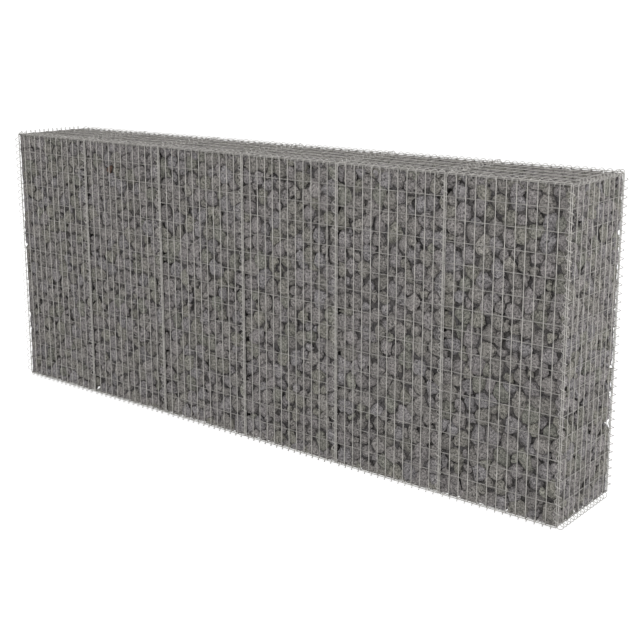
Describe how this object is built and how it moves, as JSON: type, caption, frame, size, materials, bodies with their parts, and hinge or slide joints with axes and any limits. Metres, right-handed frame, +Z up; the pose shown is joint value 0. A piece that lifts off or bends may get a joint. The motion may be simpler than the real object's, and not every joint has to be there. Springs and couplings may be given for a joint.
{
  "type": "gabion wall",
  "caption": "Free-standing gabion wall of welded wire mesh baskets in a row, laced with wire spirals and packed with grey stone.",
  "frame": {"origin": "middle of the wall's footprint, level with the lowest coils of the lacing spirals", "axes": "+X along the run of bays, +Y from the front face to the back face, +Z up"},
  "size_m": [3.7062, 0.5504, 1.5505],
  "materials": {
    "galvanised_mesh": "dull hot-dip galvanised wire",
    "galvanised_spiral": "dull galvanised spring wire",
    "stone": "rough broken and part-rounded stone"
  },
  "bodies": {
    "root": {"back_panel_1": "galvanised_mesh", "back_panel_2": "galvanised_mesh", "back_panel_3": "galvanised_mesh", "back_panel_4": "galvanised_mesh", "back_panel_5": "galvanised_mesh", "back_panel_6": "galvanised_mesh", "base_cross_spirals": "galvanised_spiral", "base_edge_spirals": "galvanised_spiral", "base_panel_1": "galvanised_mesh", "base_panel_2": "galvanised_mesh", "base_panel_3": "galvanised_mesh", "base_panel_4": "galvanised_mesh", "base_panel_5": "galvanised_mesh", "base_panel_6": "galvanised_mesh", "corner_spirals": "galvanised_spiral", "end_panel_left": "galvanised_mesh", "end_panel_right": "galvanised_mesh", "front_panel_1": "galvanised_mesh", "front_panel_2": "galvanised_mesh", "front_panel_3": "galvanised_mesh", "front_panel_4": "galvanised_mesh", "front_panel_5": "galvanised_mesh", "front_panel_6": "galvanised_mesh", "lid_cross_spirals": "galvanised_spiral", "lid_edge_spirals": "galvanised_spiral", "lid_panel_1": "galvanised_mesh", "lid_panel_2": "galvanised_mesh", "lid_panel_3": "galvanised_mesh", "lid_panel_4": "galvanised_mesh", "lid_panel_5": "galvanised_mesh", "lid_panel_6": "galvanised_mesh", "partition_panel_1": "galvanised_mesh", "partition_panel_2": "galvanised_mesh", "partition_panel_3": "galvanised_mesh", "partition_panel_4": "galvanised_mesh", "partition_panel_5": "galvanised_mesh", "seam_spirals": "galvanised_spiral", "stone_fill_1": "stone", "stone_fill_2": "stone", "stone_fill_3": "stone", "stone_fill_4": "stone", "stone_fill_5": "stone", "stone_fill_6": "stone"}
  },
  "joints": []
}
